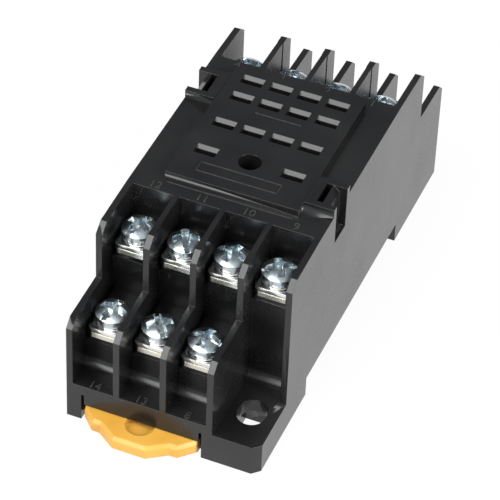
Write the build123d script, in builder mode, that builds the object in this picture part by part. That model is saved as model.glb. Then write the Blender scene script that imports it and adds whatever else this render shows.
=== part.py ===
# Screw-terminal relay socket for a 35 mm rail, with a moulded housing, fourteen terminals and a rail latch.
# The origin is the middle of the rail seat. +Z points away from the rail, and the latch is at the -Y end.
# The housing looks the same after half a turn about Z, so each end is made in its own frame:
# w runs across the end and u runs outwards from the middle.
import os
from build123d import *

# Overall sizes
length = 72.0
width = 29.5
wall = 0.95
fin = 0.8
fin_tip = 0.95
rail_depth = 3.3
rail_gap = 36.4

# Heights above the feet
ear_height = 5.1
bar_height = 6.5
lower_floor_height = 11.0
tier_step = 8.7
ledge_height = 28.0
plate_height = 29.2
clip_height = 29.35

# Distances of the end faces from the middle
bay_back = 15.8
upper_panel = 22.4
upper_front = 26.1
lower_panel = 31.1
panel_radius = 1.6
tip_back = 22.95
far_tip_setback = 1.0

# Sloping tips of the walls and fins
upper_tip_drop = 1.3
upper_tip_run = 1.65
upper_edge_fall = 0.3
lower_wall_height = 18.4
lower_edge_fall = 0.3
lower_tip_drop = 1.3
lower_tip_run = 1.4

# Relay plate, pin slots and locating hole
plate_half_width = 10.17
plate_near = -12.8
plate_far = 13.34
plate_thickness = 2.8
slot_length = 3.3
slot_width = 1.1
slot_pitch = 4.44
slot_lead = 0.3
slot_lead_depth = 0.6
slot_rows = (-6.3, 0.25, 6.75, 10.9)
key_hole = 3.4
key_y = -6.05
key_depth = 12.0
key_wall = 0.5

# Clip towers beside the plate
clip_near = 4.8
clip_far = 10.9
clip_rib = 1.0
clip_slot_inner = 11.7
clip_slot_width = 0.9
clip_bar_outer = 13.6
clip_slot_depth = 7.0
clip_ramp = 0.9
clip_notch_height = 22.5

# Ears with their mounting holes
hole_spacing_x = 22.0
hole_spacing_y = 59.0
mounting_hole = 4.2
mounting_hole_length = 5.0
ear_corner = 1.1
ear_skin = 2.2
ear_rim = 1.2
ear_hollow = 26.2

# Inner chamber and the cover that closes it
chamber_half_width = 9.6
chamber_half_length = 14.4
cover_rim = 1.0
cover_thickness = 1.6
cover_gap = 0.1
cover_rib = 0.8

# Terminals
upper_screw = 20.4
far_upper_screw = 18.8
lower_screw = 29.15
seat_rise = 1.6
seat_width = 5.5
seat_setback = 0.15
strip_thickness = 0.8
tab_width = 5.7
tab_reach = 2.85
tab_corner = 0.8
strip_gap = 0.15

# Clamp plates with their spring washers
clamp_size = 5.6
clamp_corner = 0.9
clamp_thickness = 0.8
clamp_hole = 3.2
washer_outer = 5.0
washer_thickness = 0.7

# Terminal screws, with the shank at the root of the thread
thread = 2.4
screw_length = 8.0
head = 5.2
head_height = 1.9
drive_slot = 0.8
drive_slot_depth = 0.9
tip_room = 0.6
tip_gap = 0.25

# Contact forks under the pin slots
fork_width = 2.8
fork_base = 2.0
leaf = 0.4
blade = 0.5
fork_top_gap = 0.2
fork_flare = 0.35

# Rail latch and its channel
channel_width = 17.7
channel_centre = 3.25
channel_height = 3.0
channel_slit = 0.4
slit_height = 4.8
slit_depth = 1.6
latch_gap = 0.25
latch_floor = 0.4
latch_head_gap = 0.15
latch_reach = 4.25
latch_shoulder = 0.2
lip_height = 1.0
lip_width = 0.9
lip_near = 20.0
lip_far = 34.4
nose_reach = 1.8
nose_width = 12.0
nose_top = 2.1
flange_gap = 0.2
dish = 4.2
dish_depth = 1.0
lug_width = 4.0
lug_depth = 1.0
lug_top = 5.2
lug_place = 22.6
pocket_width = 15.2
pocket_back = 22.4
pocket_front = 32.4
pocket_height = 5.7
spring_strip = 0.35
spring_height = 2.0
spring_seat = 0.1
hook_width = 16.0
hook_reach = 1.4
hook_bottom = 0.3
hook_root = 0.2

# Derived sizes, shared by the pieces that meet
foot_z = -rail_depth
half_width = width / 2
half_length = length / 2
bay = (width - 2 * wall - 3 * fin) / 4
pitch = bay + fin
block_side = pitch + fin_tip / 2
lower_floor_z = foot_z + lower_floor_height
upper_floor_z = lower_floor_z + tier_step
ledge_z = foot_z + ledge_height
plate_z = foot_z + plate_height
chamber_top = plate_z - plate_thickness
upper_tab_z = upper_floor_z + seat_rise
lower_tab_z = lower_floor_z + seat_rise
clamp_z = strip_thickness
washer_z = clamp_z + clamp_thickness
head_z = washer_z + washer_thickness
channel_half = channel_width / 2
latch_half = channel_half - latch_gap


# Frame of one end: side is +1 at the far end and -1 at the latch end
def across(side, w):
    return Plane(origin=(side * w, 0, 0), x_dir=(0, side, 0), z_dir=(side, 0, 0))


def above(side, z):
    return Plane(origin=(0, 0, z), x_dir=(side, 0, 0), z_dir=(0, 0, 1))


def beside(side, u):
    return Plane(origin=(0, side * u, 0), x_dir=(-side, 0, 0), z_dir=(0, side, 0))


# Adds or cuts a block given by its ranges of w, u and z at one end
def block(side, w_range, u_range, z_range, mode=Mode.ADD):
    with BuildSketch(above(side, z_range[0])) as base:
        with Locations(((w_range[0] + w_range[1]) / 2, (u_range[0] + u_range[1]) / 2)):
            Rectangle(w_range[1] - w_range[0], u_range[1] - u_range[0])
    extrude(base.sketch, amount=z_range[1] - z_range[0], mode=mode)


# Adds a plate of the given outline in u and z, from one w to another
def profile(side, w_range, points, rounded=None):
    with BuildSketch(across(side, w_range[0])) as outline:
        with BuildLine():
            Polyline(*points, close=True)
        make_face()
        if rounded is not None:
            fillet(outline.vertices().sort_by_distance(rounded)[0], panel_radius)
    extrude(outline.sketch, amount=w_range[1] - w_range[0])


# Outline of a wall or fin over both tiers, from its foot height
def two_tier(bottom):
    upper_end = foot_z + ledge_height - upper_edge_fall
    lower_top = foot_z + lower_wall_height
    return [
        (bay_back - wall, bottom),
        (bay_back - wall, ledge_z),
        (bay_back, ledge_z),
        (upper_front - upper_tip_run, upper_end),
        (upper_front, upper_end - upper_tip_drop),
        (upper_front, lower_top),
        (half_length - lower_tip_run, lower_top - lower_edge_fall),
        (half_length, lower_top - lower_edge_fall - lower_tip_drop),
        (half_length, bottom),
    ]


# Outline of the wall over the ear, which has the upper tier alone, with its tip set back or not
def one_tier(bottom, setback):
    outline = two_tier(bottom)
    tip = [(u - setback, z) for u, z in outline[3:5]]
    return outline[:3] + tip + [(upper_front - setback, bottom)]


# Thicker part of the fins: all of the lower tier and a strip along the upper front
def tip_strip(bottom):
    outline = two_tier(bottom)
    lower_top = outline[5][1]
    back = [(upper_panel, bottom), (upper_panel, lower_top), (tip_back, lower_top)]
    return back + [(tip_back, outline[3][1])] + outline[3:]


# Places of the terminals: side, tier, w of the bay, pin slot of the contact, w and width of its neck
outer_neck = (pitch + fin / 2 + chamber_half_width) / 2
outer_neck_width = chamber_half_width - pitch - fin / 2 - 2 * strip_gap
inner_bay = pitch / 2
outer_bay = 1.5 * pitch
inner_slot = slot_pitch / 2
outer_slot = 1.5 * slot_pitch
inner_neck_width = 2.2
near_terminals = [
    ("upper", outer_bay, (outer_slot, -slot_rows[0]), outer_neck, outer_neck_width),
    ("upper", inner_bay, (inner_slot, -slot_rows[1]), inner_bay + strip_gap * 2, inner_neck_width),
    ("upper", -inner_bay, (-inner_slot, -slot_rows[1]), -inner_bay - strip_gap * 2, inner_neck_width),
    ("upper", -outer_bay, (-outer_slot, -slot_rows[0]), -outer_neck, outer_neck_width),
    ("lower", outer_bay, (outer_slot, -slot_rows[1]), outer_neck, outer_neck_width),
    ("lower", inner_bay, (inner_slot, -slot_rows[2]), inner_slot + 2 * strip_gap, 1.8),
    ("lower", -inner_bay, (-outer_slot, -slot_rows[1]), -inner_bay, inner_neck_width),
]
far_terminals = [
    ("upper", -outer_bay, (-outer_slot, slot_rows[3]), -outer_neck, outer_neck_width),
    ("upper", -inner_bay, (-inner_slot, slot_rows[3]), -inner_bay, inner_neck_width),
    ("upper", inner_bay, (inner_slot, slot_rows[3]), inner_bay, inner_neck_width),
    ("upper", outer_bay, (outer_slot, slot_rows[3]), outer_neck, outer_neck_width),
    ("lower", -inner_bay, (-outer_slot, slot_rows[2]), -pitch + fin / 2 + 1.3, 2.0),
    ("lower", inner_bay, (inner_slot, slot_rows[2]), inner_bay, inner_neck_width),
    ("lower", outer_bay, (outer_slot, slot_rows[2]), outer_neck, outer_neck_width),
]
terminals = [(-1, *one) for one in near_terminals] + [(1, *one) for one in far_terminals]


def tab_z(tier):
    return upper_tab_z if tier == "upper" else lower_tab_z


def screw_place(side, tier):
    if tier == "lower":
        return lower_screw
    return upper_screw if side < 0 else far_upper_screw


def tier_back(tier):
    return bay_back if tier == "upper" else upper_panel


# Housing: one black moulding with bays for the terminals, a plate for the relay, ears and feet
with BuildPart() as housing:
    for side in (-1, 1):
        body_top = [(upper_panel, upper_floor_z), (0, upper_floor_z)]
        foot_line = [(0, 0), (rail_gap / 2, 0), (rail_gap / 2, foot_z), (half_length, foot_z)]
        stepped = [
            (half_length, foot_z + bar_height),
            (lower_panel, foot_z + bar_height),
            (lower_panel, lower_floor_z),
            (upper_panel, lower_floor_z),
        ]
        profile(
            side,
            (-block_side, half_width - wall),
            foot_line + stepped + body_top,
            (lower_panel, foot_z + bar_height, 0),
        )
        low = [(half_length, foot_z + ear_height), (upper_panel, foot_z + ear_height)]
        profile(
            side,
            (-half_width + wall, -block_side),
            foot_line + low + body_top,
            (upper_panel, foot_z + ear_height, 0),
        )
        # Outer walls, then fins with their thicker front strips
        full_wall = [(0, 0), (rail_gap / 2, 0), (rail_gap / 2, foot_z), (half_length, foot_z)]
        tall_wall = full_wall + two_tier(foot_z)[7:1:-1] + [(0, ledge_z)]
        profile(side, (half_width - wall, half_width), tall_wall)
        tips = one_tier(foot_z + ear_height, far_tip_setback if side > 0 else 0)
        ear_side = [(half_length, foot_z + ear_height)]
        short_wall = full_wall + ear_side + tips[5:1:-1] + [(0, ledge_z)]
        profile(side, (-half_width, -half_width + wall), short_wall)
        low_z = foot_z + channel_height + 1.0
        for w in (-pitch, 0, pitch):
            profile(side, (w - fin / 2, w + fin / 2), two_tier(low_z))
            profile(side, (w - fin_tip / 2, w + fin_tip / 2), tip_strip(low_z))
    # Middle tower with its ledge, and the raised relay plate
    tower = (-bay_back, bay_back)
    block(1, (-half_width + wall, half_width - wall), tower, (0, ledge_z))
    block(1, (-plate_half_width, plate_half_width), (plate_near, plate_far), (chamber_top, plate_z))
    # Seats under the terminal strips, with room for the screw tips
    for side, tier, w, slot, neck, neck_width in terminals:
        front = (upper_panel if tier == "upper" else lower_panel) - seat_setback
        rows = (tier_back(tier), front)
        block(side, (w - seat_width / 2, w + seat_width / 2), rows, (tab_z(tier) - seat_rise, tab_z(tier)))
    for side, tier, w, slot, neck, neck_width in terminals:
        reach = thread / 2 + tip_gap
        u = screw_place(side, tier)
        depth = screw_length - head_z + tip_room
        heights = (tab_z(tier) - depth, tab_z(tier))
        block(side, (w - reach, w + reach), (u - reach, u + reach), heights, Mode.SUBTRACT)
    # Chamber for the contact forks, with the rebate for the cover
    chamber = (-chamber_half_width, chamber_half_width)
    block(1, chamber, (-chamber_half_length, chamber_half_length), (0, chamber_top), Mode.SUBTRACT)
    rebate = (-chamber_half_width - cover_rim, chamber_half_width + cover_rim)
    rebate_rows = (-chamber_half_length - cover_rim, chamber_half_length + cover_rim)
    block(1, rebate, rebate_rows, (0, cover_thickness), Mode.SUBTRACT)
    # Post round the locating hole
    with BuildSketch(Plane.XY.offset(plate_z)):
        with Locations((0, key_y)):
            Circle(key_hole / 2 + key_wall)
    extrude(amount=-key_depth)
    with BuildSketch(Plane.XY.offset(plate_z)):
        with Locations((0, key_y)):
            Circle(key_hole / 2)
    extrude(amount=-key_depth, mode=Mode.SUBTRACT)
    # Slots where the contact strips pass from the bays into the chamber
    for side, tier, w, slot, neck, neck_width in terminals:
        reach = neck_width / 2 + strip_gap
        rows = (chamber_half_length - strip_gap, tier_back(tier))
        opening = (tab_z(tier), tab_z(tier) + strip_thickness + strip_gap)
        block(side, (neck - reach, neck + reach), rows, opening, Mode.SUBTRACT)
    # Pin slots with a lead-in: four in each row, and the outer two in the row of the locating hole
    for row, y in enumerate(slot_rows):
        for column in (-1.5, -0.5, 0.5, 1.5):
            if row > 0 or abs(column) > 1:
                start = column * slot_pitch - slot_length / 2
                front = y - slot_width / 2
                back = y + slot_width / 2
                with BuildSketch(across(1, start)):
                    with BuildLine():
                        Polyline(
                            (front, plate_z),
                            (front, chamber_top),
                            (back - slot_lead, chamber_top),
                            (back - slot_lead, plate_z - slot_lead_depth),
                            (back, plate_z),
                            close=True,
                        )
                    make_face()
                extrude(amount=slot_length, mode=Mode.SUBTRACT)
    # Clip towers beside the plate, open to the outside through a notch in the wall
    for side in (-1, 1):
        tower_w = (-half_width, -plate_half_width)
        block(side, tower_w, (clip_near, clip_far), (ledge_z, foot_z + clip_height))
        inside = (clip_near + clip_rib, clip_far - clip_rib)
        slot_w = (-clip_slot_inner - clip_slot_width, -clip_slot_inner)
        top = foot_z + clip_height
        block(side, slot_w, inside, (top - clip_slot_depth, top), Mode.SUBTRACT)
        notch_w = (-half_width, -clip_bar_outer)
        block(side, notch_w, inside, (foot_z + clip_notch_height, top), Mode.SUBTRACT)
        # The bar between slot and notch falls away outwards
        with BuildSketch(beside(side, inside[0])):
            with BuildLine():
                Polyline(
                    (clip_slot_inner + clip_slot_width, top),
                    (clip_bar_outer, top - clip_ramp),
                    (clip_bar_outer, top),
                    close=True,
                )
            make_face()
        extrude(amount=inside[1] - inside[0], mode=Mode.SUBTRACT)
    # Ears: holes, a cut corner and a hollow underside
    for side in (-1, 1):
        hole = (-hole_spacing_x / 2, hole_spacing_y / 2)
        inner = -block_side - ear_rim
        outer = -half_width + ear_rim
        rows = (ear_hollow, half_length - ear_rim)
        block(side, (outer, inner), rows, (foot_z, foot_z + ear_height - ear_skin), Mode.SUBTRACT)
        with BuildSketch(above(side, foot_z)):
            with Locations(hole):
                SlotOverall(mounting_hole_length, mounting_hole, rotation=90)
        extrude(amount=ear_height, mode=Mode.SUBTRACT)
        with BuildSketch(above(side, foot_z)):
            with BuildLine():
                Polyline(
                    (-half_width, half_length),
                    (-half_width + ear_corner, half_length),
                    (-half_width, half_length - ear_corner),
                    close=True,
                )
            make_face()
        extrude(amount=ear_height, mode=Mode.SUBTRACT)
    # Channel of the rail latch, its guide lips and the pocket of the spring
    mid = channel_centre
    channel = (mid - channel_half, mid + channel_half)
    block(-1, channel, (rail_gap / 2, half_length), (foot_z, foot_z + channel_height), Mode.SUBTRACT)
    for edge in (-1, 1):
        lip = sorted((mid + edge * channel_half, mid + edge * (channel_half - lip_width)))
        block(-1, lip, (lip_near, lip_far), (foot_z, foot_z + lip_height))
        slit = sorted((mid + edge * (channel_half - 0.05), mid + edge * (channel_half + channel_slit)))
        slit_rows = (half_length - slit_depth, half_length)
        block(-1, slit, slit_rows, (foot_z, foot_z + slit_height), Mode.SUBTRACT)
    pocket = (mid - pocket_width / 2, mid + pocket_width / 2)
    pocket_heights = (foot_z + channel_height, foot_z + pocket_height)
    block(-1, pocket, (pocket_back, pocket_front), pocket_heights, Mode.SUBTRACT)
    # Fixed rail hook at the far end, with a lead-in, and the hollow underside of that foot
    with BuildSketch(across(1, -hook_width / 2)):
        with BuildLine():
            tip = rail_gap / 2 - hook_reach
            Polyline(
                (rail_gap / 2 + hook_root, foot_z + hook_bottom),
                (tip + nose_top / 2, foot_z + hook_bottom),
                (tip, foot_z + nose_top * 0.75),
                (tip, foot_z + nose_top),
                (rail_gap / 2 + hook_root, foot_z + nose_top),
                close=True,
            )
        make_face()
    extrude(amount=hook_width)
    far_rows = (rail_gap / 2 + 2 * wall, half_length - 2 * wall)
    for w in (-inner_bay, inner_bay, outer_bay):
        core = (w - bay / 2 + wall / 2, w + bay / 2 - wall / 2)
        block(1, core, far_rows, (foot_z, foot_z + channel_height), Mode.SUBTRACT)
housing.part.label = "housing"

# Base cover: a flat plate that closes the chamber flush with the rail seat, with ribs inside
with BuildPart() as base_cover:
    cover_width = 2 * (chamber_half_width + cover_rim - cover_gap)
    cover_length = 2 * (chamber_half_length + cover_rim - cover_gap)
    with BuildSketch():
        Rectangle(cover_width, cover_length)
    extrude(amount=cover_thickness)
    with BuildSketch(Plane.XY.offset(cover_thickness)):
        Rectangle(2 * (chamber_half_width - cover_gap), 2 * (chamber_half_length - cover_gap))
        inner_width = 2 * (chamber_half_width - cover_gap - cover_rib)
        Rectangle(inner_width, 2 * (chamber_half_length - cover_gap - cover_rib), mode=Mode.SUBTRACT)
        Rectangle(inner_width, cover_rib)
        Rectangle(cover_rib, cover_length / 2)
    extrude(amount=cover_rim)
    chamfer(base_cover.faces().sort_by(Axis.Z)[0].edges(), cover_gap * 2)
base_cover.part.label = "base_cover"

# Rail latch: a flat slide with guide flanges, a nose for the rail, a lug for the spring and a thumb tab
with BuildPart() as rail_latch:
    top = foot_z + channel_height - latch_head_gap
    bottom = foot_z + latch_floor
    back = rail_gap / 2 + latch_gap
    mid = channel_centre
    step = foot_z + lip_height + flange_gap
    guide = (mid - latch_half, mid + latch_half)
    slim = channel_half - lip_width - latch_gap
    block(-1, guide, (back, half_length), (step, top))
    block(-1, (mid - slim, mid + slim), (back, half_length), (bottom, step))
    with BuildSketch(above(-1, bottom)) as tab:
        with BuildLine():
            shoulder = half_length + latch_shoulder
            front = half_length + latch_reach
            half = [
                (latch_half, lip_far + flange_gap),
                (latch_half, shoulder),
                (latch_half - 2.0, shoulder + 2.05),
                (latch_half - 3.25, shoulder + 2.1),
                (latch_half - 6.05, front),
            ]
            outline = [(mid + w, u) for w, u in half] + [(mid - w, u) for w, u in reversed(half)]
            Polyline(*outline, close=True)
        make_face()
    extrude(amount=top - bottom)
    with BuildSketch(across(-1, mid - nose_width / 2)):
        with BuildLine():
            tip = rail_gap / 2 - nose_reach
            nose_z = foot_z + nose_top
            Polyline(
                (back + flange_gap, bottom),
                (tip + (nose_z - bottom) / 2, bottom),
                (tip, nose_z - (nose_z - bottom) / 3),
                (tip, nose_z),
                (back + flange_gap, nose_z),
                close=True,
            )
        make_face()
    extrude(amount=nose_width)
    lug = (mid - lug_width / 2, mid + lug_width / 2)
    block(-1, lug, (lug_place, lug_place + lug_depth), (top, foot_z + lug_top))
    front_edges = rail_latch.edges().filter_by(lambda e: e.center().Y < -half_length)
    rounded = front_edges.filter_by(Plane.XY).group_by(Axis.Z)
    chamfer(rounded[-1] + rounded[0], latch_gap * 2)
    with BuildSketch(above(-1, top)):
        with Locations((mid, half_length + flange_gap)):
            Circle(dish / 2)
    extrude(amount=-dish_depth, mode=Mode.SUBTRACT)
rail_latch.part.label = "rail_latch"

# Latch spring: a bowed steel strip that pushes the lug towards the rail
with BuildPart() as latch_spring:
    with BuildSketch(above(-1, foot_z + channel_height + latch_gap)):
        with BuildLine():
            crown = lug_place + lug_depth + spring_seat
            ends = pocket_front - spring_seat
            reach = pocket_width / 2 - latch_gap
            outer = ThreePointArc((mid - reach, ends), (mid, crown), (mid + reach, ends))
            inside = reach - spring_strip
            inner = ThreePointArc((mid - inside, ends), (mid, crown + spring_strip), (mid + inside, ends))
            Line(outer @ 0, inner @ 0)
            Line(outer @ 1, inner @ 1)
        make_face()
    extrude(amount=spring_height)
latch_spring.part.label = "latch_spring"

# One terminal screw, standing on its terminal strip's underside at the origin
with BuildPart() as terminal_screw:
    crown = head_z + head_height
    with BuildSketch(Plane.XZ):
        with BuildLine():
            Polyline(
                (0, crown),
                (0, head_z - screw_length),
                (thread / 2, head_z - screw_length),
                (thread / 2, head_z),
                (head / 2, head_z),
                (head / 2, crown),
                close=True,
            )
        make_face()
    revolve(axis=Axis.Z)
    with BuildSketch(Plane.XY.offset(crown)):
        Rectangle(head + 1, drive_slot)
    extrude(amount=-drive_slot_depth, mode=Mode.SUBTRACT)

# One captive clamp: a square plate with its spring washer on it
with BuildPart() as clamp:
    with BuildSketch(Plane.XY.offset(clamp_z)) as plate:
        Rectangle(clamp_size, clamp_size)
        chamfer(plate.vertices(), clamp_corner)
    extrude(amount=clamp_thickness)
    with BuildSketch(Plane.XY.offset(washer_z)):
        Circle(washer_outer / 2)
    extrude(amount=washer_thickness)
    with BuildSketch(Plane.XY.offset(clamp_z)):
        Circle(clamp_hole / 2)
    extrude(amount=clamp_thickness + washer_thickness, mode=Mode.SUBTRACT)


# One contact strip: a tapped tab in the bay, a neck into the chamber and a fork under its pin slot
def contact_strip(side, tier, w, slot, neck, neck_width):
    z = tab_z(tier)
    fork_z = upper_tab_z
    slot_w, slot_u = slot
    screw_u = screw_place(side, tier)
    near_w = min(slot_w - fork_width / 2, neck - neck_width / 2)
    far_w = max(slot_w + fork_width / 2, neck + neck_width / 2)
    with BuildPart() as strip:
        with BuildSketch(above(side, z)) as blank:
            with Locations((w, screw_u)):
                Rectangle(tab_width, 2 * tab_reach)
            chamfer(blank.vertices(), tab_corner)
            with Locations((neck, (slot_u + screw_u) / 2)):
                Rectangle(neck_width, screw_u - slot_u)
            with Locations(((near_w + far_w) / 2, slot_u)):
                Rectangle(far_w - near_w, fork_base)
            with Locations((w, screw_u)):
                Rectangle(thread + 2 * tip_gap, thread + 2 * tip_gap, mode=Mode.SUBTRACT)
        extrude(amount=strip_thickness)
        fork_w = (slot_w - fork_width / 2, slot_w + fork_width / 2)
        fork_u = (slot_u - fork_base / 2, slot_u + fork_base / 2)
        if z < fork_z:
            block(side, fork_w, (slot_u + fork_base / 2 - strip_thickness, fork_u[1]), (z, fork_z))
            block(side, fork_w, fork_u, (fork_z, fork_z + strip_thickness))
        # Two leaves: one straight, one bowed in to grip the blade, both flared at the top
        with BuildSketch(across(side, fork_w[0])):
            leaf_z = fork_z + strip_thickness / 2
            top_z = chamber_top - fork_top_gap
            straight = slot_u + blade / 2 + leaf / 2
            bowed = slot_u - fork_base / 2 + leaf / 2
            with BuildLine():
                Polyline(
                    (straight, leaf_z), (straight, top_z - 2 * leaf), (straight + fork_flare, top_z),
                )
            trace(line_width=leaf)
            with BuildLine():
                Polyline(
                    (bowed, leaf_z),
                    (bowed, leaf_z + 2 * leaf),
                    (slot_u - leaf / 2 - blade / 4, top_z - 3 * leaf),
                    (bowed, top_z),
                )
            trace(line_width=leaf)
        extrude(amount=fork_width)
    return strip.part


os.makedirs("parts", exist_ok=True)
for piece in (housing, base_cover, rail_latch, latch_spring):
    export_step(piece.part, f"parts/{piece.part.label}.step")
for number, (side, tier, w, slot, neck, neck_width) in enumerate(terminals, start=1):
    turn = 24 + 47 * number
    place = Location((side * w, side * screw_place(side, tier), tab_z(tier)), (0, 0, turn))
    screw_piece = terminal_screw.part.moved(place)
    screw_piece.label = f"terminal_screw_{number}"
    export_step(screw_piece, f"parts/{screw_piece.label}.step")
    level = Location((side * w, side * screw_place(side, tier), tab_z(tier)))
    clamp_piece = clamp.part.moved(level)
    clamp_piece.label = f"clamp_{number}"
    export_step(clamp_piece, f"parts/{clamp_piece.label}.step")
    strip_piece = contact_strip(side, tier, w, slot, neck, neck_width)
    strip_piece.label = f"contact_{number}"
    export_step(strip_piece, f"parts/{strip_piece.label}.step")
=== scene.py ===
"""Dresses the relay socket: moulded plastics, plated metal, raised numbers, threads and a white studio."""
from math import copysign, cos, pi, radians, sin

import bmesh
import bpy
from bpy.props import FloatProperty, FloatVectorProperty, IntProperty, PointerProperty
from mathutils import Matrix, Vector


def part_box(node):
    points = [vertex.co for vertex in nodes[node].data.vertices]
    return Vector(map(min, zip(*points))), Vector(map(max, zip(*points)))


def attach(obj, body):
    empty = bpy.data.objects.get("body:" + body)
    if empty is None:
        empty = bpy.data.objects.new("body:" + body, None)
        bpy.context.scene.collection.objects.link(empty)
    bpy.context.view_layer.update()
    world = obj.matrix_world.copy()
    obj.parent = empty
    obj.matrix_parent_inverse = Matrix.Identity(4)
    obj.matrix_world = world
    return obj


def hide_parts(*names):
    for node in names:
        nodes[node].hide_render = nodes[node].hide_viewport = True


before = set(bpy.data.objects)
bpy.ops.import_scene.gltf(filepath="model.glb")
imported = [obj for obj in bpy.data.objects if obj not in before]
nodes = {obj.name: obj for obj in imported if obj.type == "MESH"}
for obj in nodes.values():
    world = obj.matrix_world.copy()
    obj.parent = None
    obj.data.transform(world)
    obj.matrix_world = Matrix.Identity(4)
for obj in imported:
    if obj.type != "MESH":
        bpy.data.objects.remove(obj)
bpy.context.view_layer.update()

bl_info = {
    "name": "Relay socket",
    "version": (1, 0, 0),
    "blender": (4, 5, 0),
    "location": "View3D > Sidebar > Relay socket",
    "description": "Finishes, raised marks, threads and studio for a relay socket",
    "category": "Object",
}

MM = 0.001
TERMINALS = range(1, 15)

# Heights and faces of the housing, in metres, that the raised marks stand on
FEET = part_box("housing")[0].z
PLATE_TOP = FEET + 29.2 * MM
LEDGE_TOP = FEET + 28.0 * MM
FOOT_TOP = FEET + 6.5 * MM
HALF_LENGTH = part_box("housing")[1].y


def length(name, millimetres, description):
    return FloatProperty(name=name, description=description, default=millimetres * MM, unit="LENGTH")


def colour(name, shade, description):
    return FloatVectorProperty(name=name, description=description, subtype="COLOR", default=shade)


class SocketSizes(bpy.types.PropertyGroup):
    digit_height: length("Digit height", 1.4, "Height of the raised terminal numbers")
    mark_rise: length("Mark rise", 0.13, "How far numbers and lines stand up from the moulding")
    line_width: length("Line width", 0.16, "Width of the raised lines on the relay plate")
    thread_pitch: length("Thread pitch", 0.5, "Rise of a screw's thread in one turn")
    thread_depth: length("Thread depth", 0.22, "Height of the thread above the shank")
    thread_steps: IntProperty(name="Thread steps", description="Segments in a turn of thread", default=20)
    thread_root: length("Thread root", 2.4, "Width of the shank")
    head_width: length("Head width", 5.2, "Width of a screw's head")
    head_height: length("Head height", 1.9, "Height of a screw's head")
    head_rim: length("Head rim", 1.0, "Height of the head's straight rim")
    slot_width: length("Slot width", 0.8, "Width of the driver slot")
    slot_depth: length("Slot depth", 0.9, "Depth of the driver slot")
    cross_length: length("Cross length", 3.9, "Span of the cross recess")
    cross_width: length("Cross width", 1.25, "Width of the cross's wings")
    cross_depth: length("Cross depth", 1.3, "Depth of the cross recess")
    clamp_corner: length("Clamp corner", 0.8, "Corner radius of a clamp")
    clamp_hole: length("Clamp hole", 3.2, "Width of a clamp's hole")
    washer_width: length("Washer width", 5.0, "Width of a spring washer")
    washer_height: length("Washer height", 0.7, "Height of a spring washer")
    washer_lift: length("Washer lift", 0.12, "Rise of the washer at its split")
    pin_slot_length: length("Pin slot length", 3.3, "Length of a pin slot across the plate")
    pin_slot_width: length("Pin slot width", 1.1, "Width of a pin slot below its mouth")
    pin_slot_pitch: length("Pin slot pitch", 4.44, "Distance between the pin slots of a row")
    plate_thickness: length("Plate thickness", 2.8, "Thickness of the relay plate")
    lead_in: length("Lead-in", 0.53, "Width and depth of the slope at the far side of a pin slot")
    slot_front: length("Slot front", 0.35, "How far a pin slot's mouth is widened to the near side")
    slot_front_depth: length("Slot front depth", 1.5, "Depth of that widened part")
    strip_height: length("Strip height", 0.8, "Thickness of a contact strip")
    upper_bay_back: length("Upper bay back", 15.8, "Distance of the upper bays' back from the middle")
    lower_bay_back: length("Lower bay back", 22.4, "Distance of the lower bays' back from the middle")
    cover_root: length("Cover root", 0.2, "How far a neck cover sinks into its wall")
    cover_gap: length("Cover gap", 0.15, "Gap between a neck cover and a clamp")
    cover_rise: length("Cover rise", 0.5, "Height of a neck cover above its strip")


class SocketFinishes(bpy.types.PropertyGroup):
    black: colour("Black moulding", (0.0065, 0.0065, 0.007), "Colour of the housing")
    amber: colour("Amber moulding", (0.53, 0.265, 0.031), "Colour of the rail latch")
    plating: colour("Screw plating", (0.44, 0.51, 0.54), "Colour of the plated screws")
    steel: colour("Clamp steel", (0.80, 0.80, 0.77), "Colour of the clamps and washers")
    tin: colour("Tinned contact", (0.74, 0.71, 0.63), "Colour of the contact strips")
    backdrop: colour("Backdrop", (0.85, 0.85, 0.85), "Colour of the floor")


class Flow:
    """A socket of a material, so that sums on it add Math nodes."""

    def __init__(self, finish, socket):
        self.finish = finish
        self.socket = socket

    def math(self, operation, *terms):
        return self.finish.add("Math", {"operation": operation}, dict(enumerate(terms)))

    def __add__(self, other):
        return self.math("ADD", self, other)

    def __mul__(self, other):
        return self.math("MULTIPLY", self, other)


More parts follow.
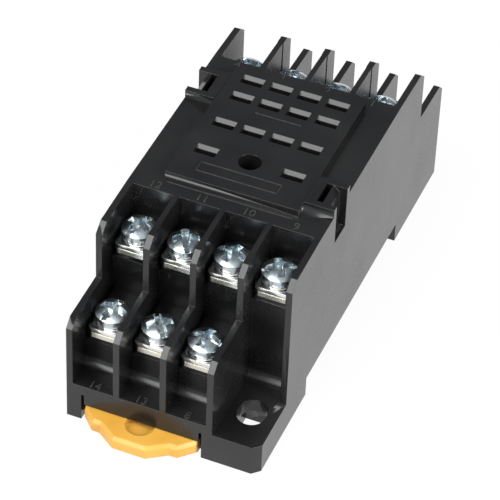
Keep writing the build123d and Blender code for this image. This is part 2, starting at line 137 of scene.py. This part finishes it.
class Finish:
    """Builds the nodes of one material or of the world."""

    def __init__(self, owner):
        owner.use_nodes = True
        self.owner = owner
        self.tree = owner.node_tree
        self.tree.nodes.clear()

    def add(self, kind, settings=None, values=None, result=0):
        """Adds a node: its settings first, then the values or links of its sockets."""
        made = self.tree.nodes.new("ShaderNode" + kind)
        for name, setting in (settings or {}).items():
            setattr(made, name, setting)
        for name, value in (values or {}).items():
            socket = made.inputs[name]
            if isinstance(value, Flow):
                self.tree.links.new(value.socket, socket)
            elif socket.type == "RGBA":
                socket.default_value = (*value, 1)
            else:
                socket.default_value = value
        return Flow(self, made.outputs[result]) if made.outputs else made

    def blend(self, share, first, second):
        """Mixes two colours by a share from 0 to 1."""
        return self.add(
            "Mix", {"data_type": "RGBA"}, {"Factor": share, "A": first, "B": second}, "Result"
        )

    def place(self):
        """The object's own coordinates, which ride with the piece."""
        return self.add("TexCoord", result="Object")

    def noise(self, place, size, detail=3.0, roughness=0.5):
        """Noise whose grains are about size metres wide."""
        values = {"Vector": place, "Scale": 1 / size, "Detail": detail, "Roughness": roughness}
        return self.add("TexNoise", None, values, "Fac")

    def range(self, value, low, high, to_low, to_high):
        """Stretches values between low and high to between to_low and to_high."""
        values = {"Value": value, "From Min": low, "From Max": high, "To Min": to_low, "To Max": to_high}
        return self.add("MapRange", None, values)

    def rounded(self, radius):
        """Normal that softens edges, as a mould's small radii do."""
        return self.add("Bevel", {"samples": 6}, {"Radius": radius})

    def bumped(self, height, strength, distance, radius):
        """Normal of a fine grain over softened edges."""
        values = {"Strength": strength, "Distance": distance, "Height": height}
        values["Normal"] = self.rounded(radius)
        return self.add("Bump", None, values)

    def surface(self, **values):
        """Ends a material with a Principled shader that has these values, and gives the material."""
        named = {name.replace("_", " "): value for name, value in values.items()}
        shader = self.add("BsdfPrincipled", None, named)
        self.add("OutputMaterial", None, {"Surface": shader})
        return self.owner


def black_moulding():
    """Glossy black plastic with faint clouds and a fine grain."""
    colours = bpy.context.scene.socket_finishes
    finish = Finish(bpy.data.materials.new("black_moulding"))
    place = finish.place()
    cloud = finish.noise(place, 9 * MM, 4)
    grain = finish.noise(place, 0.35 * MM, 2)
    tint = finish.blend(finish.range(cloud, 0.35, 0.65, 0, 1), tuple(colours.black), (0.011, 0.011, 0.0115))
    gloss = finish.range(cloud, 0.3, 0.7, 0.20, 0.27) + finish.range(grain, 0.3, 0.7, -0.015, 0.035)
    bump = finish.bumped(grain, 0.10, 0.03 * MM, 0.13 * MM)
    return finish.surface(Base_Color=tint, Roughness=gloss, Normal=bump)


def raised_marks_painted_highlight():
    """The same moulding with a painted highlight: the raised marks are coloured a little lighter, standing
    in for light caught on their edges.
    """
    finish = Finish(bpy.data.materials.new("raised_marks_painted_highlight"))
    grain = finish.noise(finish.place(), 0.35 * MM, 2)
    # Painted highlight: a lighter grey than the moulding, for the light on the marks' edges
    tint = finish.blend(finish.range(grain, 0.35, 0.65, 0, 1), (0.022, 0.022, 0.022), (0.040, 0.040, 0.040))
    gloss = finish.range(grain, 0.3, 0.7, 0.36, 0.48)
    bump = finish.bumped(grain, 0.10, 0.03 * MM, 0.02 * MM)
    return finish.surface(Base_Color=tint, Roughness=gloss, Normal=bump)


def amber_moulding():
    """Satin amber plastic, a little uneven in colour."""
    colours = bpy.context.scene.socket_finishes
    finish = Finish(bpy.data.materials.new("amber_moulding"))
    place = finish.place()
    cloud = finish.noise(place, 6 * MM, 3)
    grain = finish.noise(place, 0.3 * MM, 2)
    tint = finish.blend(finish.range(cloud, 0.35, 0.65, 0, 1), tuple(colours.amber), (0.58, 0.315, 0.048))
    bump = finish.bumped(grain, 0.12, 0.03 * MM, 0.3 * MM)
    gloss = finish.range(grain, 0.3, 0.7, 0.36, 0.46)
    return finish.surface(Base_Color=tint, Roughness=gloss, Normal=bump)


def plated_screw():
    """Bluish zinc plating with a grainy surface."""
    colours = bpy.context.scene.socket_finishes
    finish = Finish(bpy.data.materials.new("plated_screw"))
    place = finish.place()
    cloud = finish.noise(place, 1.6 * MM, 3)
    grain = finish.noise(place, 0.16 * MM, 3, 0.6)
    tint = finish.blend(finish.range(cloud, 0.38, 0.62, 0, 1), tuple(colours.plating), (0.66, 0.72, 0.75))
    bump = finish.bumped(grain, 0.25, 0.02 * MM, 0.06 * MM)
    gloss = finish.range(cloud, 0.3, 0.7, 0.20, 0.34)
    return finish.surface(Base_Color=tint, Metallic=1.0, Roughness=gloss, Normal=bump)


def plated_clamp():
    """Bright plated steel, drawn out in height where it was sheared."""
    colours = bpy.context.scene.socket_finishes
    finish = Finish(bpy.data.materials.new("plated_clamp"))
    place = finish.place()
    stretched = finish.add("Mapping", None, {"Vector": place, "Scale": (1, 1, 0.15)})
    shear = finish.noise(stretched, 0.12 * MM, 3)
    cloud = finish.noise(place, 2.2 * MM, 2)
    tint = finish.blend(finish.range(cloud, 0.4, 0.6, 0, 1), tuple(colours.steel), (0.70, 0.71, 0.70))
    bump = finish.bumped(shear, 0.2, 0.02 * MM, 0.05 * MM)
    gloss = finish.range(shear, 0.3, 0.7, 0.10, 0.20)
    return finish.surface(Base_Color=tint, Metallic=1.0, Roughness=gloss, Normal=bump)


def tinned_contact():
    """Warm tin with streaks of rolling along the strip."""
    colours = bpy.context.scene.socket_finishes
    finish = Finish(bpy.data.materials.new("tinned_contact"))
    place = finish.place()
    rolled = finish.add("Mapping", None, {"Vector": place, "Scale": (1, 0.08, 1)})
    streak = finish.noise(rolled, 0.1 * MM, 3)
    cloud = finish.noise(place, 3 * MM, 3)
    tint = finish.blend(finish.range(cloud, 0.4, 0.6, 0, 1), tuple(colours.tin), (0.66, 0.64, 0.58))
    bump = finish.bumped(streak, 0.15, 0.02 * MM, 0.08 * MM)
    gloss = finish.range(streak, 0.3, 0.7, 0.2, 0.32)
    return finish.surface(Base_Color=tint, Metallic=1.0, Roughness=gloss, Normal=bump)


def spring_steel():
    """Grey spring strip with fine streaks along it."""
    finish = Finish(bpy.data.materials.new("spring_steel"))
    place = finish.place()
    rolled = finish.add("Mapping", None, {"Vector": place, "Scale": (0.08, 0.08, 1)})
    streak = finish.noise(rolled, 0.08 * MM, 3)
    tint = finish.blend(finish.range(streak, 0.3, 0.7, 0, 1), (0.42, 0.41, 0.40), (0.55, 0.54, 0.52))
    gloss = finish.range(streak, 0.3, 0.7, 0.24, 0.36)
    return finish.surface(Base_Color=tint, Metallic=1.0, Roughness=gloss)


def coat(piece, material):
    """Gives a piece this material alone."""
    piece.data.materials.clear()
    piece.data.materials.append(material)


def paint(names, material):
    """Gives the CAD nodes of these names one material."""
    for name in names:
        coat(nodes[name], material)


def deselect():
    bpy.ops.object.select_all(action="DESELECT")


def numbered(word):
    """The names of the fourteen nodes that begin with this word."""
    return [f"{word}_{number}" for number in TERMINALS]


def joined(name, pieces):
    """Joins pieces into one mesh of that name, with its object at the origin."""
    deselect()
    for piece in pieces:
        piece.select_set(True)
    bpy.context.view_layer.objects.active = pieces[0]
    if len(pieces) > 1:
        bpy.ops.object.join()
    bpy.ops.object.transform_apply(location=True, rotation=True, scale=True)
    pieces[0].name = name
    pieces[0].data.name = name
    return pieces[0]


def raised_bar(start, end, foot):
    """A low ridge from start to end on the moulding, with sloping sides."""
    sizes = bpy.context.scene.socket_sizes
    slope = 0.3 * sizes.line_width
    along = Vector(end) - Vector(start)
    middle = (Vector(start) + Vector(end)) / 2
    deselect()
    bpy.ops.mesh.primitive_cube_add(size=1, location=(middle.x, middle.y, foot + sizes.mark_rise / 2))
    bar = bpy.context.object
    bar.scale = (abs(along.x) + sizes.line_width, abs(along.y) + sizes.line_width, sizes.mark_rise)
    bpy.ops.object.transform_apply(location=True, rotation=True, scale=True)
    for corner in bar.data.vertices:
        if corner.co.z > foot + sizes.mark_rise / 2:
            corner.co.x += copysign(slope, middle.x - corner.co.x)
            corner.co.y += copysign(slope, middle.y - corner.co.y)
        else:
            corner.co.z -= sizes.mark_rise / 2
    return bar


def raised_number(text, x, y, foot):
    """A raised number, read from the latch end."""
    sizes = bpy.context.scene.socket_sizes
    figure_share = 0.7
    deselect()
    bpy.ops.object.text_add(location=(x, y, foot))
    number = bpy.context.object
    number.data.body = text
    number.data.align_x = "CENTER"
    number.data.align_y = "CENTER"
    number.data.size = sizes.digit_height / figure_share
    number.data.extrude = sizes.mark_rise
    number.data.resolution_u = 3
    bpy.ops.object.convert(target="MESH")
    return bpy.context.object


def prism(profile, start, width):
    """A prism along X whose profile is given as points of (y, z)."""
    deselect()
    bpy.ops.mesh.primitive_plane_add(size=1, location=(0, 0, 0))
    made = bpy.context.object
    shape = bmesh.new()
    face = shape.faces.new([shape.verts.new((start, y, z)) for y, z in profile])
    pulled = bmesh.ops.extrude_face_region(shape, geom=[face])["geom"]
    moved = [part for part in pulled if isinstance(part, bmesh.types.BMVert)]
    bmesh.ops.translate(shape, verts=moved, vec=(width, 0, 0))
    bmesh.ops.recalc_face_normals(shape, faces=shape.faces)
    shape.to_mesh(made.data)
    shape.free()
    return made


def spun(profile, angle, steps, rise=0.0, closed=False):
    """Turns a profile of (radius, height) points about Z, as a mesh object."""
    deselect()
    bpy.ops.mesh.primitive_plane_add(size=1, location=(0, 0, 0))
    made = bpy.context.object
    shape = bmesh.new()
    corners = [shape.verts.new((radius, 0, height)) for radius, height in profile]
    count = len(corners) if closed else len(corners) - 1
    edges = [shape.edges.new((corners[i], corners[(i + 1) % len(corners)])) for i in range(count)]
    bmesh.ops.spin(
        shape, geom=corners + edges, cent=(0, 0, 0), axis=(0, 0, 1), angle=angle, steps=steps,
        dvec=(0, 0, rise / steps),
    )
    bmesh.ops.remove_doubles(shape, verts=shape.verts, dist=0.001 * MM)
    bmesh.ops.holes_fill(shape, edges=[edge for edge in shape.edges if edge.is_boundary])
    bmesh.ops.recalc_face_normals(shape, faces=shape.faces)
    shape.to_mesh(made.data)
    shape.free()
    return made


def hollowed(body, cutter):
    """Cuts one mesh out of another and takes the cutter away."""
    deselect()
    bpy.context.view_layer.objects.active = body
    body.select_set(True)
    cut = body.modifiers.new("recess", "BOOLEAN")
    cut.operation = "DIFFERENCE"
    cut.object = cutter
    bpy.ops.object.modifier_apply(modifier=cut.name)
    bpy.data.objects.remove(cutter)


def softened(body, radius):
    """Rounds the sharp edges and shades the rest smooth."""
    deselect()
    bpy.context.view_layer.objects.active = body
    body.select_set(True)
    edge = body.modifiers.new("edges", "BEVEL")
    edge.width = radius
    edge.segments = 2
    edge.limit_method = "ANGLE"
    edge.angle_limit = radians(34)
    bpy.ops.object.modifier_apply(modifier=edge.name)
    bpy.ops.object.shade_smooth_by_angle(angle=radians(30))


def bar(length, width, top, bottom, narrower):
    """A straight cutter along X with sloping sides, wider at its top."""
    deselect()
    bpy.ops.mesh.primitive_cube_add(size=1, location=(0, 0, (top + bottom) / 2))
    made = bpy.context.object
    made.scale = (length, width, top - bottom)
    bpy.ops.object.transform_apply(location=True, rotation=True, scale=True)
    for corner in made.data.vertices:
        if corner.co.z < (top + bottom) / 2:
            corner.co.x *= 1 - 2 * narrower / length
            corner.co.y *= 1 - 2 * narrower / width
    return made


class SOCKET_OT_mouldings(bpy.types.Operator):
    """Gives the housing, its cover and the latch their moulded plastics"""
    bl_idname = "socket.mouldings"
    bl_label = "Mouldings"

    def execute(self, context):
        paint(["housing", "base_cover"], black_moulding())
        paint(["rail_latch"], amber_moulding())
        return {"FINISHED"}


class SOCKET_OT_metalwork(bpy.types.Operator):
    """Gives screws, clamps, contacts and spring their metals"""
    bl_idname = "socket.metalwork"
    bl_label = "Metalwork"

    def execute(self, context):
        paint(numbered("terminal_screw"), plated_screw())
        paint(numbered("clamp"), plated_clamp())
        paint(numbered("contact"), tinned_contact())
        paint(["latch_spring"], spring_steel())
        return {"FINISHED"}


class SOCKET_OT_slot_mouths(bpy.types.Operator):
    """Widens the mouth of each pin slot to both sides, in a copy that stands for the housing"""
    bl_idname = "socket.slot_mouths"
    bl_label = "Slot mouths"

    def execute(self, context):
        sizes = context.scene.socket_sizes
        rows = (-6.3 * MM, 0.25 * MM, 6.75 * MM, 10.9 * MM)
        columns = (-1.5, -0.5, 0.5, 1.5)
        above = 0.2 * MM
        spare = 0.01 * MM
        weld = 0.002 * MM
        sharp_from = radians(17)
        bottom = PLATE_TOP - sizes.plate_thickness - 0.1 * MM
        step = PLATE_TOP - sizes.slot_front_depth
        cutters = []
        for row, y in enumerate(rows):
            back = y + sizes.pin_slot_width / 2 + spare
            front = y - sizes.pin_slot_width / 2 - sizes.slot_front
            profile = [
                (y, bottom), (back, bottom), (back, PLATE_TOP - sizes.lead_in),
                (back + sizes.lead_in + above, PLATE_TOP + above), (front, PLATE_TOP + above),
                (front, step), (y, step),
            ]
            # The first row has only its two outer slots
            for column in columns if row else (columns[0], columns[-1]):
                start = column * sizes.pin_slot_pitch - sizes.pin_slot_length / 2 - spare
                cutters.append(prism(profile, start, sizes.pin_slot_length + 2 * spare))
        cutter = joined("slot_cutters", cutters)
        moulding = bpy.data.objects.new("housing_detail", nodes["housing"].data.copy())
        context.scene.collection.objects.link(moulding)
        shape = bmesh.new()
        shape.from_mesh(moulding.data)
        bmesh.ops.remove_doubles(shape, verts=shape.verts, dist=weld)
        shape.to_mesh(moulding.data)
        shape.free()
        hollowed(moulding, cutter)
        deselect()
        moulding.select_set(True)
        context.view_layer.objects.active = moulding
        bpy.ops.object.shade_smooth_by_angle(angle=sharp_from)
        weighted = moulding.modifiers.new("flat_faces", "WEIGHTED_NORMAL")
        weighted.keep_sharp = True
        weighted.weight = 100
        bpy.ops.object.modifier_apply(modifier=weighted.name)
        coat(moulding, nodes["housing"].data.materials[0])
        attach(moulding, "base")
        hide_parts("housing")
        return {"FINISHED"}


class SOCKET_OT_neck_covers(bpy.types.Operator):
    """Covers the contact necks between the panels and the clamps, as part of the moulding"""
    bl_idname = "socket.neck_covers"
    bl_label = "Neck covers"

    def execute(self, context):
        sizes = context.scene.socket_sizes
        tier_split = LEDGE_TOP - 12 * MM
        made = []
        for number in TERMINALS:
            low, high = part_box(f"clamp_{number}")
            outwards = 1 if low.y > 0 else -1
            back = low.y if outwards > 0 else -high.y
            bay_back = sizes.lower_bay_back if low.z < tier_split else sizes.upper_bay_back
            panel = bay_back - sizes.cover_root
            front = back - sizes.cover_gap
            # A neck this short lies wholly in its wall
            if front - panel < 2 * sizes.cover_root:
                continue
            deselect()
            bottom = low.z - sizes.strip_height
            top = low.z + sizes.cover_rise
            middle = ((low.x + high.x) / 2, outwards * (panel + front) / 2, (bottom + top) / 2)
            bpy.ops.mesh.primitive_cube_add(size=1, location=middle)
            cover = bpy.context.object
            cover.scale = (high.x - low.x, front - panel, top - bottom)
            bpy.ops.object.transform_apply(location=True, rotation=True, scale=True)
            made.append(cover)
        covers = joined("neck_covers", made)
        softened(covers, 0.08 * MM)
        coat(covers, nodes["housing"].data.materials[0])
        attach(covers, "base")
        return {"FINISHED"}


class SOCKET_OT_terminal_numbers(bpy.types.Operator):
    """Raises plain numbers beside the terminals"""
    bl_idname = "socket.terminal_numbers"
    bl_label = "Terminal numbers"

    def execute(self, context):
        pitch = 7.12 * MM
        columns = [-1.5 * pitch, -0.5 * pitch, 0.5 * pitch, 1.5 * pitch]
        ledge = 14.85 * MM
        front = HALF_LENGTH - 0.85 * MM
        rows = [
            (("12", "11", "10", "9"), columns, -ledge, LEDGE_TOP),
            (("14", "13", "8"), columns[:3], -front, FOOT_TOP),
            (("4", "3", "2", "1"), columns, ledge, LEDGE_TOP),
            (("7", "6", "5"), columns[1:], front, FOOT_TOP),
        ]
        made = [
            raised_number(text, x, y, foot)
            for texts, places, y, foot in rows
            for text, x in zip(texts, places)
        ]
        numbers = joined("terminal_numbers", made)
        # The numbers wear the raised marks' painted highlight, a lighter grey
        coat(numbers, raised_marks_painted_highlight())
        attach(numbers, "base")
        return {"FINISHED"}


class SOCKET_OT_plate_marks(bpy.types.Operator):
    """Raises the bare label frame and the thin lines of the relay plate"""
    bl_idname = "socket.plate_marks"
    bl_label = "Plate marks"

    def execute(self, context):
        left, right = -6.3 * MM, 6.0 * MM
        near, far = -10.8 * MM, -8.85 * MM
        row_gap = 4.38 * MM
        half_row = 3.5 * MM
        near_ledge, far_ledge = -13.55 * MM, 13.9 * MM
        half_ledge = 9.5 * MM
        lines = [
            ((left, near), (right, near), PLATE_TOP),
            ((left, far), (right, far), PLATE_TOP),
            ((left, near), (left, far), PLATE_TOP),
            ((right, near), (right, far), PLATE_TOP),
            ((-half_row, row_gap), (half_row, row_gap), PLATE_TOP),
            ((-half_ledge, near_ledge), (half_ledge, near_ledge), LEDGE_TOP),
            ((-half_ledge, far_ledge), (half_ledge, far_ledge), LEDGE_TOP),
        ]
        made = [raised_bar((*start, 0), (*end, 0), foot) for start, end, foot in lines]
        marks = joined("plate_marks", made)
        # The plate's lines wear the raised marks' painted highlight, a lighter grey
        coat(marks, raised_marks_painted_highlight())
        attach(marks, "base")
        return {"FINISHED"}


def detailed_screw():
    """One terminal screw: domed head with slot and cross recess, threaded shank, and its tip at zero."""
    sizes = bpy.context.scene.socket_sizes
    low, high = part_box("terminal_screw_1")
    total = high.z - low.z
    head_foot = total - sizes.head_height
    head_radius = sizes.head_width / 2
    root = sizes.thread_root / 2
    rim = head_foot + sizes.head_rim
    dome = total - rim
    sphere = (head_radius ** 2 + dome ** 2) / (2 * dome)
    chamfer = 0.3 * MM
    profile = [(0, 0), (root - chamfer, 0), (root, chamfer), (root, head_foot), (head_radius, head_foot)]
    steps = 7
    for step in range(steps + 1):
        radius = head_radius * cos(step / steps * pi / 2)
        profile.append((radius, total - sphere + (sphere ** 2 - radius ** 2) ** 0.5))
    screw = spun(profile, 2 * pi, 48)
    slot_floor = total - sizes.slot_depth
    hollowed(screw, bar(3 * head_radius, sizes.slot_width, total + 0.5 * MM, slot_floor, 0.04 * MM))
    cross_floor = total - sizes.cross_depth
    for turn in (0, pi / 2):
        wing = bar(sizes.cross_length, sizes.cross_width, total + 0.3 * MM, cross_floor, 0.16 * MM)
        wing.data.transform(Matrix.Rotation(turn, 4, "Z"))
        hollowed(screw, wing)
    mouth = total + 0.2 * MM
    cone = [(0, cross_floor), (sizes.cross_width * 0.85, mouth), (0, mouth)]
    hollowed(screw, spun(cone, 2 * pi, 16))
    softened(screw, 0.09 * MM)
    half = sizes.thread_pitch * 0.42
    first = 0.5 * MM
    inner = root - 0.02 * MM
    ridge = [(inner, first - half), (root + sizes.thread_depth, first), (inner, first + half)]
    turns = 10
    thread = spun(ridge, 2 * pi * turns, sizes.thread_steps * turns, sizes.thread_pitch * turns, True)
    return joined("screw_pattern", [screw, thread])


def detailed_clamp():
    """One captive clamp: a square plate under a split spring washer, with its foot at zero."""
    sizes = bpy.context.scene.socket_sizes
    low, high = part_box("clamp_1")
    half = (high.x - low.x) / 2
    total = high.z - low.z
    plate_top = total - sizes.washer_height
    deselect()
    bpy.ops.mesh.primitive_cube_add(size=1, location=(0, 0, plate_top / 2))
    plate = bpy.context.object
    plate.scale = (2 * half, 2 * half, plate_top)
    bpy.ops.object.transform_apply(location=True, rotation=True, scale=True)
    shape = bmesh.new()
    shape.from_mesh(plate.data)
    upright = [edge for edge in shape.edges if abs(edge.verts[0].co.z - edge.verts[1].co.z) > plate_top / 2]
    bmesh.ops.bevel(shape, geom=upright, offset=sizes.clamp_corner, segments=4, affect="EDGES", profile=0.5)
    shape.to_mesh(plate.data)
    shape.free()
    hole = sizes.clamp_hole / 2
    hollowed(plate, spun([(0, -MM), (hole, -MM), (hole, total), (0, total)], 2 * pi, 40))
    softened(plate, 0.09 * MM)
    outer = sizes.washer_width / 2
    washer_top = total - sizes.washer_lift
    section = [(hole, plate_top), (outer, plate_top), (outer, washer_top), (hole, washer_top)]
    washer = spun(section, radians(350), 46, sizes.washer_lift, True)
    softened(washer, 0.07 * MM)
    return joined("clamp_pattern", [plate, washer])


def placed_copies(pattern, word, body_word, turns):
    """Sets a copy of the pattern over each numbered node, riding with its body."""
    for number, degrees in zip(TERMINALS, turns):
        node = f"{word}_{number}"
        low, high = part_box(node)
        mesh = pattern.data.copy()
        mesh.name = f"{node}_detail"
        turn = Matrix.Rotation(radians(degrees), 4, "Z")
        mesh.transform(Matrix.Translation(((low.x + high.x) / 2, (low.y + high.y) / 2, low.z)) @ turn)
        piece = bpy.data.objects.new(mesh.name, mesh)
        bpy.context.scene.collection.objects.link(piece)
        coat(piece, nodes[node].data.materials[0])
        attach(piece, f"{body_word}_{number}")
        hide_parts(node)
    bpy.data.objects.remove(pattern)


class SOCKET_OT_terminal_screws(bpy.types.Operator):
    """Puts a threaded screw with a combined recess at each terminal"""
    bl_idname = "socket.terminal_screws"
    bl_label = "Terminal screws"

    def execute(self, context):
        first_turn, next_turn = 24, 47
        turns = [first_turn + next_turn * number for number in TERMINALS]
        placed_copies(detailed_screw(), "terminal_screw", "screw", turns)
        return {"FINISHED"}


class SOCKET_OT_clamps(bpy.types.Operator):
    """Puts a pressed plate with a split spring washer at each terminal"""
    bl_idname = "socket.clamps"
    bl_label = "Clamps"

    def execute(self, context):
        placed_copies(detailed_clamp(), "clamp", "clamp", [0 for number in TERMINALS])
        return {"FINISHED"}


def lamp(name, place, size, power):
    """A square soft lamp at place that faces the socket."""
    deselect()
    bpy.ops.object.light_add(type="AREA", location=place)
    light = bpy.context.object
    light.name = name
    light.data.shape = "SQUARE"
    light.data.size = size
    light.data.energy = power
    socket_middle = Vector((0, 0, 0.012))
    light.rotation_euler = (socket_middle - Vector(place)).to_track_quat("-Z", "Y").to_euler()


class SOCKET_OT_studio(bpy.types.Operator):
    """Sets the white floor, soft lamps, sky and camera"""
    bl_idname = "socket.studio"
    bl_label = "Studio"

    def execute(self, context):
        scene = context.scene
        scene.view_settings.view_transform = "Standard"
        deselect()
        bpy.ops.mesh.primitive_plane_add(size=4, location=(0, 0, FEET))
        floor = context.object
        floor.name = "studio_floor"
        bpy.ops.object.transform_apply(location=True, rotation=True, scale=True)
        finish = Finish(bpy.data.materials.new("studio_floor"))
        rays = finish.add("LightPath", result="Is Camera Ray")
        gloss = finish.add("LightPath", result="Is Glossy Ray")
        seen = rays.math("MAXIMUM", rays, gloss)
        matt = finish.add("BsdfDiffuse", None, {"Color": tuple(scene.socket_finishes.backdrop)})
        glow = finish.add("Emission", None, {"Color": (1, 1, 1), "Strength": 1.0})
        glow_share = seen * 0.93
        mixed = finish.add("MixShader", None, {0: glow_share, 1: matt, 2: glow})
        finish.add("OutputMaterial", None, {"Surface": mixed})
        floor.data.materials.append(finish.owner)

        world = bpy.data.worlds.new("studio_sky")
        scene.world = world
        finish = Finish(world)
        rays = finish.add("LightPath", result="Is Camera Ray")
        gloss = finish.add("LightPath", result="Is Glossy Ray")
        direction = finish.add("TexCoord", result="Generated")
        height = finish.add("SeparateXYZ", None, {"Vector": direction}, "Z")
        depth = finish.add("SeparateXYZ", None, {"Vector": direction}, "Y")
        behind = finish.range(depth + height * 0.35, 0.05, 0.5, 0.85, 0.25)
        shine = finish.add("Background", None, {"Color": (0.93, 0.97, 1.0), "Strength": behind})
        fill = finish.add("Background", None, {"Color": (1, 1, 1), "Strength": 0.42})
        white = finish.add("Background", None, {"Color": (1, 1, 1), "Strength": 1.0})
        lit = finish.add("MixShader", None, {0: gloss, 1: fill, 2: shine})
        all_seen = finish.add("MixShader", None, {0: rays, 1: lit, 2: white})
        finish.add("OutputWorld", None, {"Surface": all_seen})

        lamp("lamp_front", (-0.16, -0.37, 0.44), 0.45, 3.4)
        lamp("lamp_right", (0.50, -0.15, 0.30), 0.30, 4.0)
        lamp("lamp_left", (-0.45, -0.30, 0.35), 0.35, 1.2)

        azimuth, elevation, roll = radians(20.97), radians(42.11), radians(2.50)
        target = Vector((1.11, -7.42, 10.7)) * MM
        distance = 428.5 * MM
        focal_pixels = 2963.8
        image_width = 500
        back = Vector((sin(azimuth) * cos(elevation), -cos(azimuth) * cos(elevation), sin(elevation)))
        right = Vector((cos(azimuth), sin(azimuth), 0))
        up = back.cross(right)
        turned_right = right * cos(roll) + up * sin(roll)
        turned_up = up * cos(roll) - right * sin(roll)
        deselect()
        bpy.ops.object.camera_add()
        camera = context.object
        camera.name = "studio_camera"
        camera.data.sensor_width = 36
        camera.data.lens = focal_pixels / image_width * camera.data.sensor_width
        camera.data.clip_start = 0.01
        facing = Matrix((turned_right, turned_up, back)).transposed().to_4x4()
        camera.matrix_world = Matrix.Translation(target + back * distance) @ facing
        scene.camera = camera
        return {"FINISHED"}


class SOCKET_PT_panel(bpy.types.Panel):
    """Lists the sizes, finishes and steps of the relay socket"""
    bl_label = "Relay socket"
    bl_idname = "SOCKET_PT_panel"
    bl_space_type = "VIEW_3D"
    bl_region_type = "UI"
    bl_category = "Relay socket"

    def draw(self, context):
        for group in (context.scene.socket_sizes, context.scene.socket_finishes):
            box = self.layout.box()
            for name in group.__annotations__:
                box.prop(group, name)
        for operator in OPERATORS:
            self.layout.operator(operator.bl_idname)


OPERATORS = (
    SOCKET_OT_mouldings,
    SOCKET_OT_metalwork,
    SOCKET_OT_slot_mouths,
    SOCKET_OT_neck_covers,
    SOCKET_OT_terminal_numbers,
    SOCKET_OT_plate_marks,
    SOCKET_OT_terminal_screws,
    SOCKET_OT_clamps,
    SOCKET_OT_studio,
)
CLASSES = (SocketSizes, SocketFinishes, *OPERATORS, SOCKET_PT_panel)


def register():
    for one in CLASSES:
        bpy.utils.register_class(one)
    bpy.types.Scene.socket_sizes = PointerProperty(type=SocketSizes)
    bpy.types.Scene.socket_finishes = PointerProperty(type=SocketFinishes)


def unregister():
    del bpy.types.Scene.socket_finishes
    del bpy.types.Scene.socket_sizes
    for one in reversed(CLASSES):
        bpy.utils.unregister_class(one)


def main():
    register()
    bpy.ops.socket.mouldings()
    bpy.ops.socket.metalwork()
    bpy.ops.socket.slot_mouths()
    bpy.ops.socket.neck_covers()
    bpy.ops.socket.terminal_numbers()
    bpy.ops.socket.plate_marks()
    bpy.ops.socket.terminal_screws()
    bpy.ops.socket.clamps()
    bpy.ops.socket.studio()


if __name__ == "__main__":
    main()
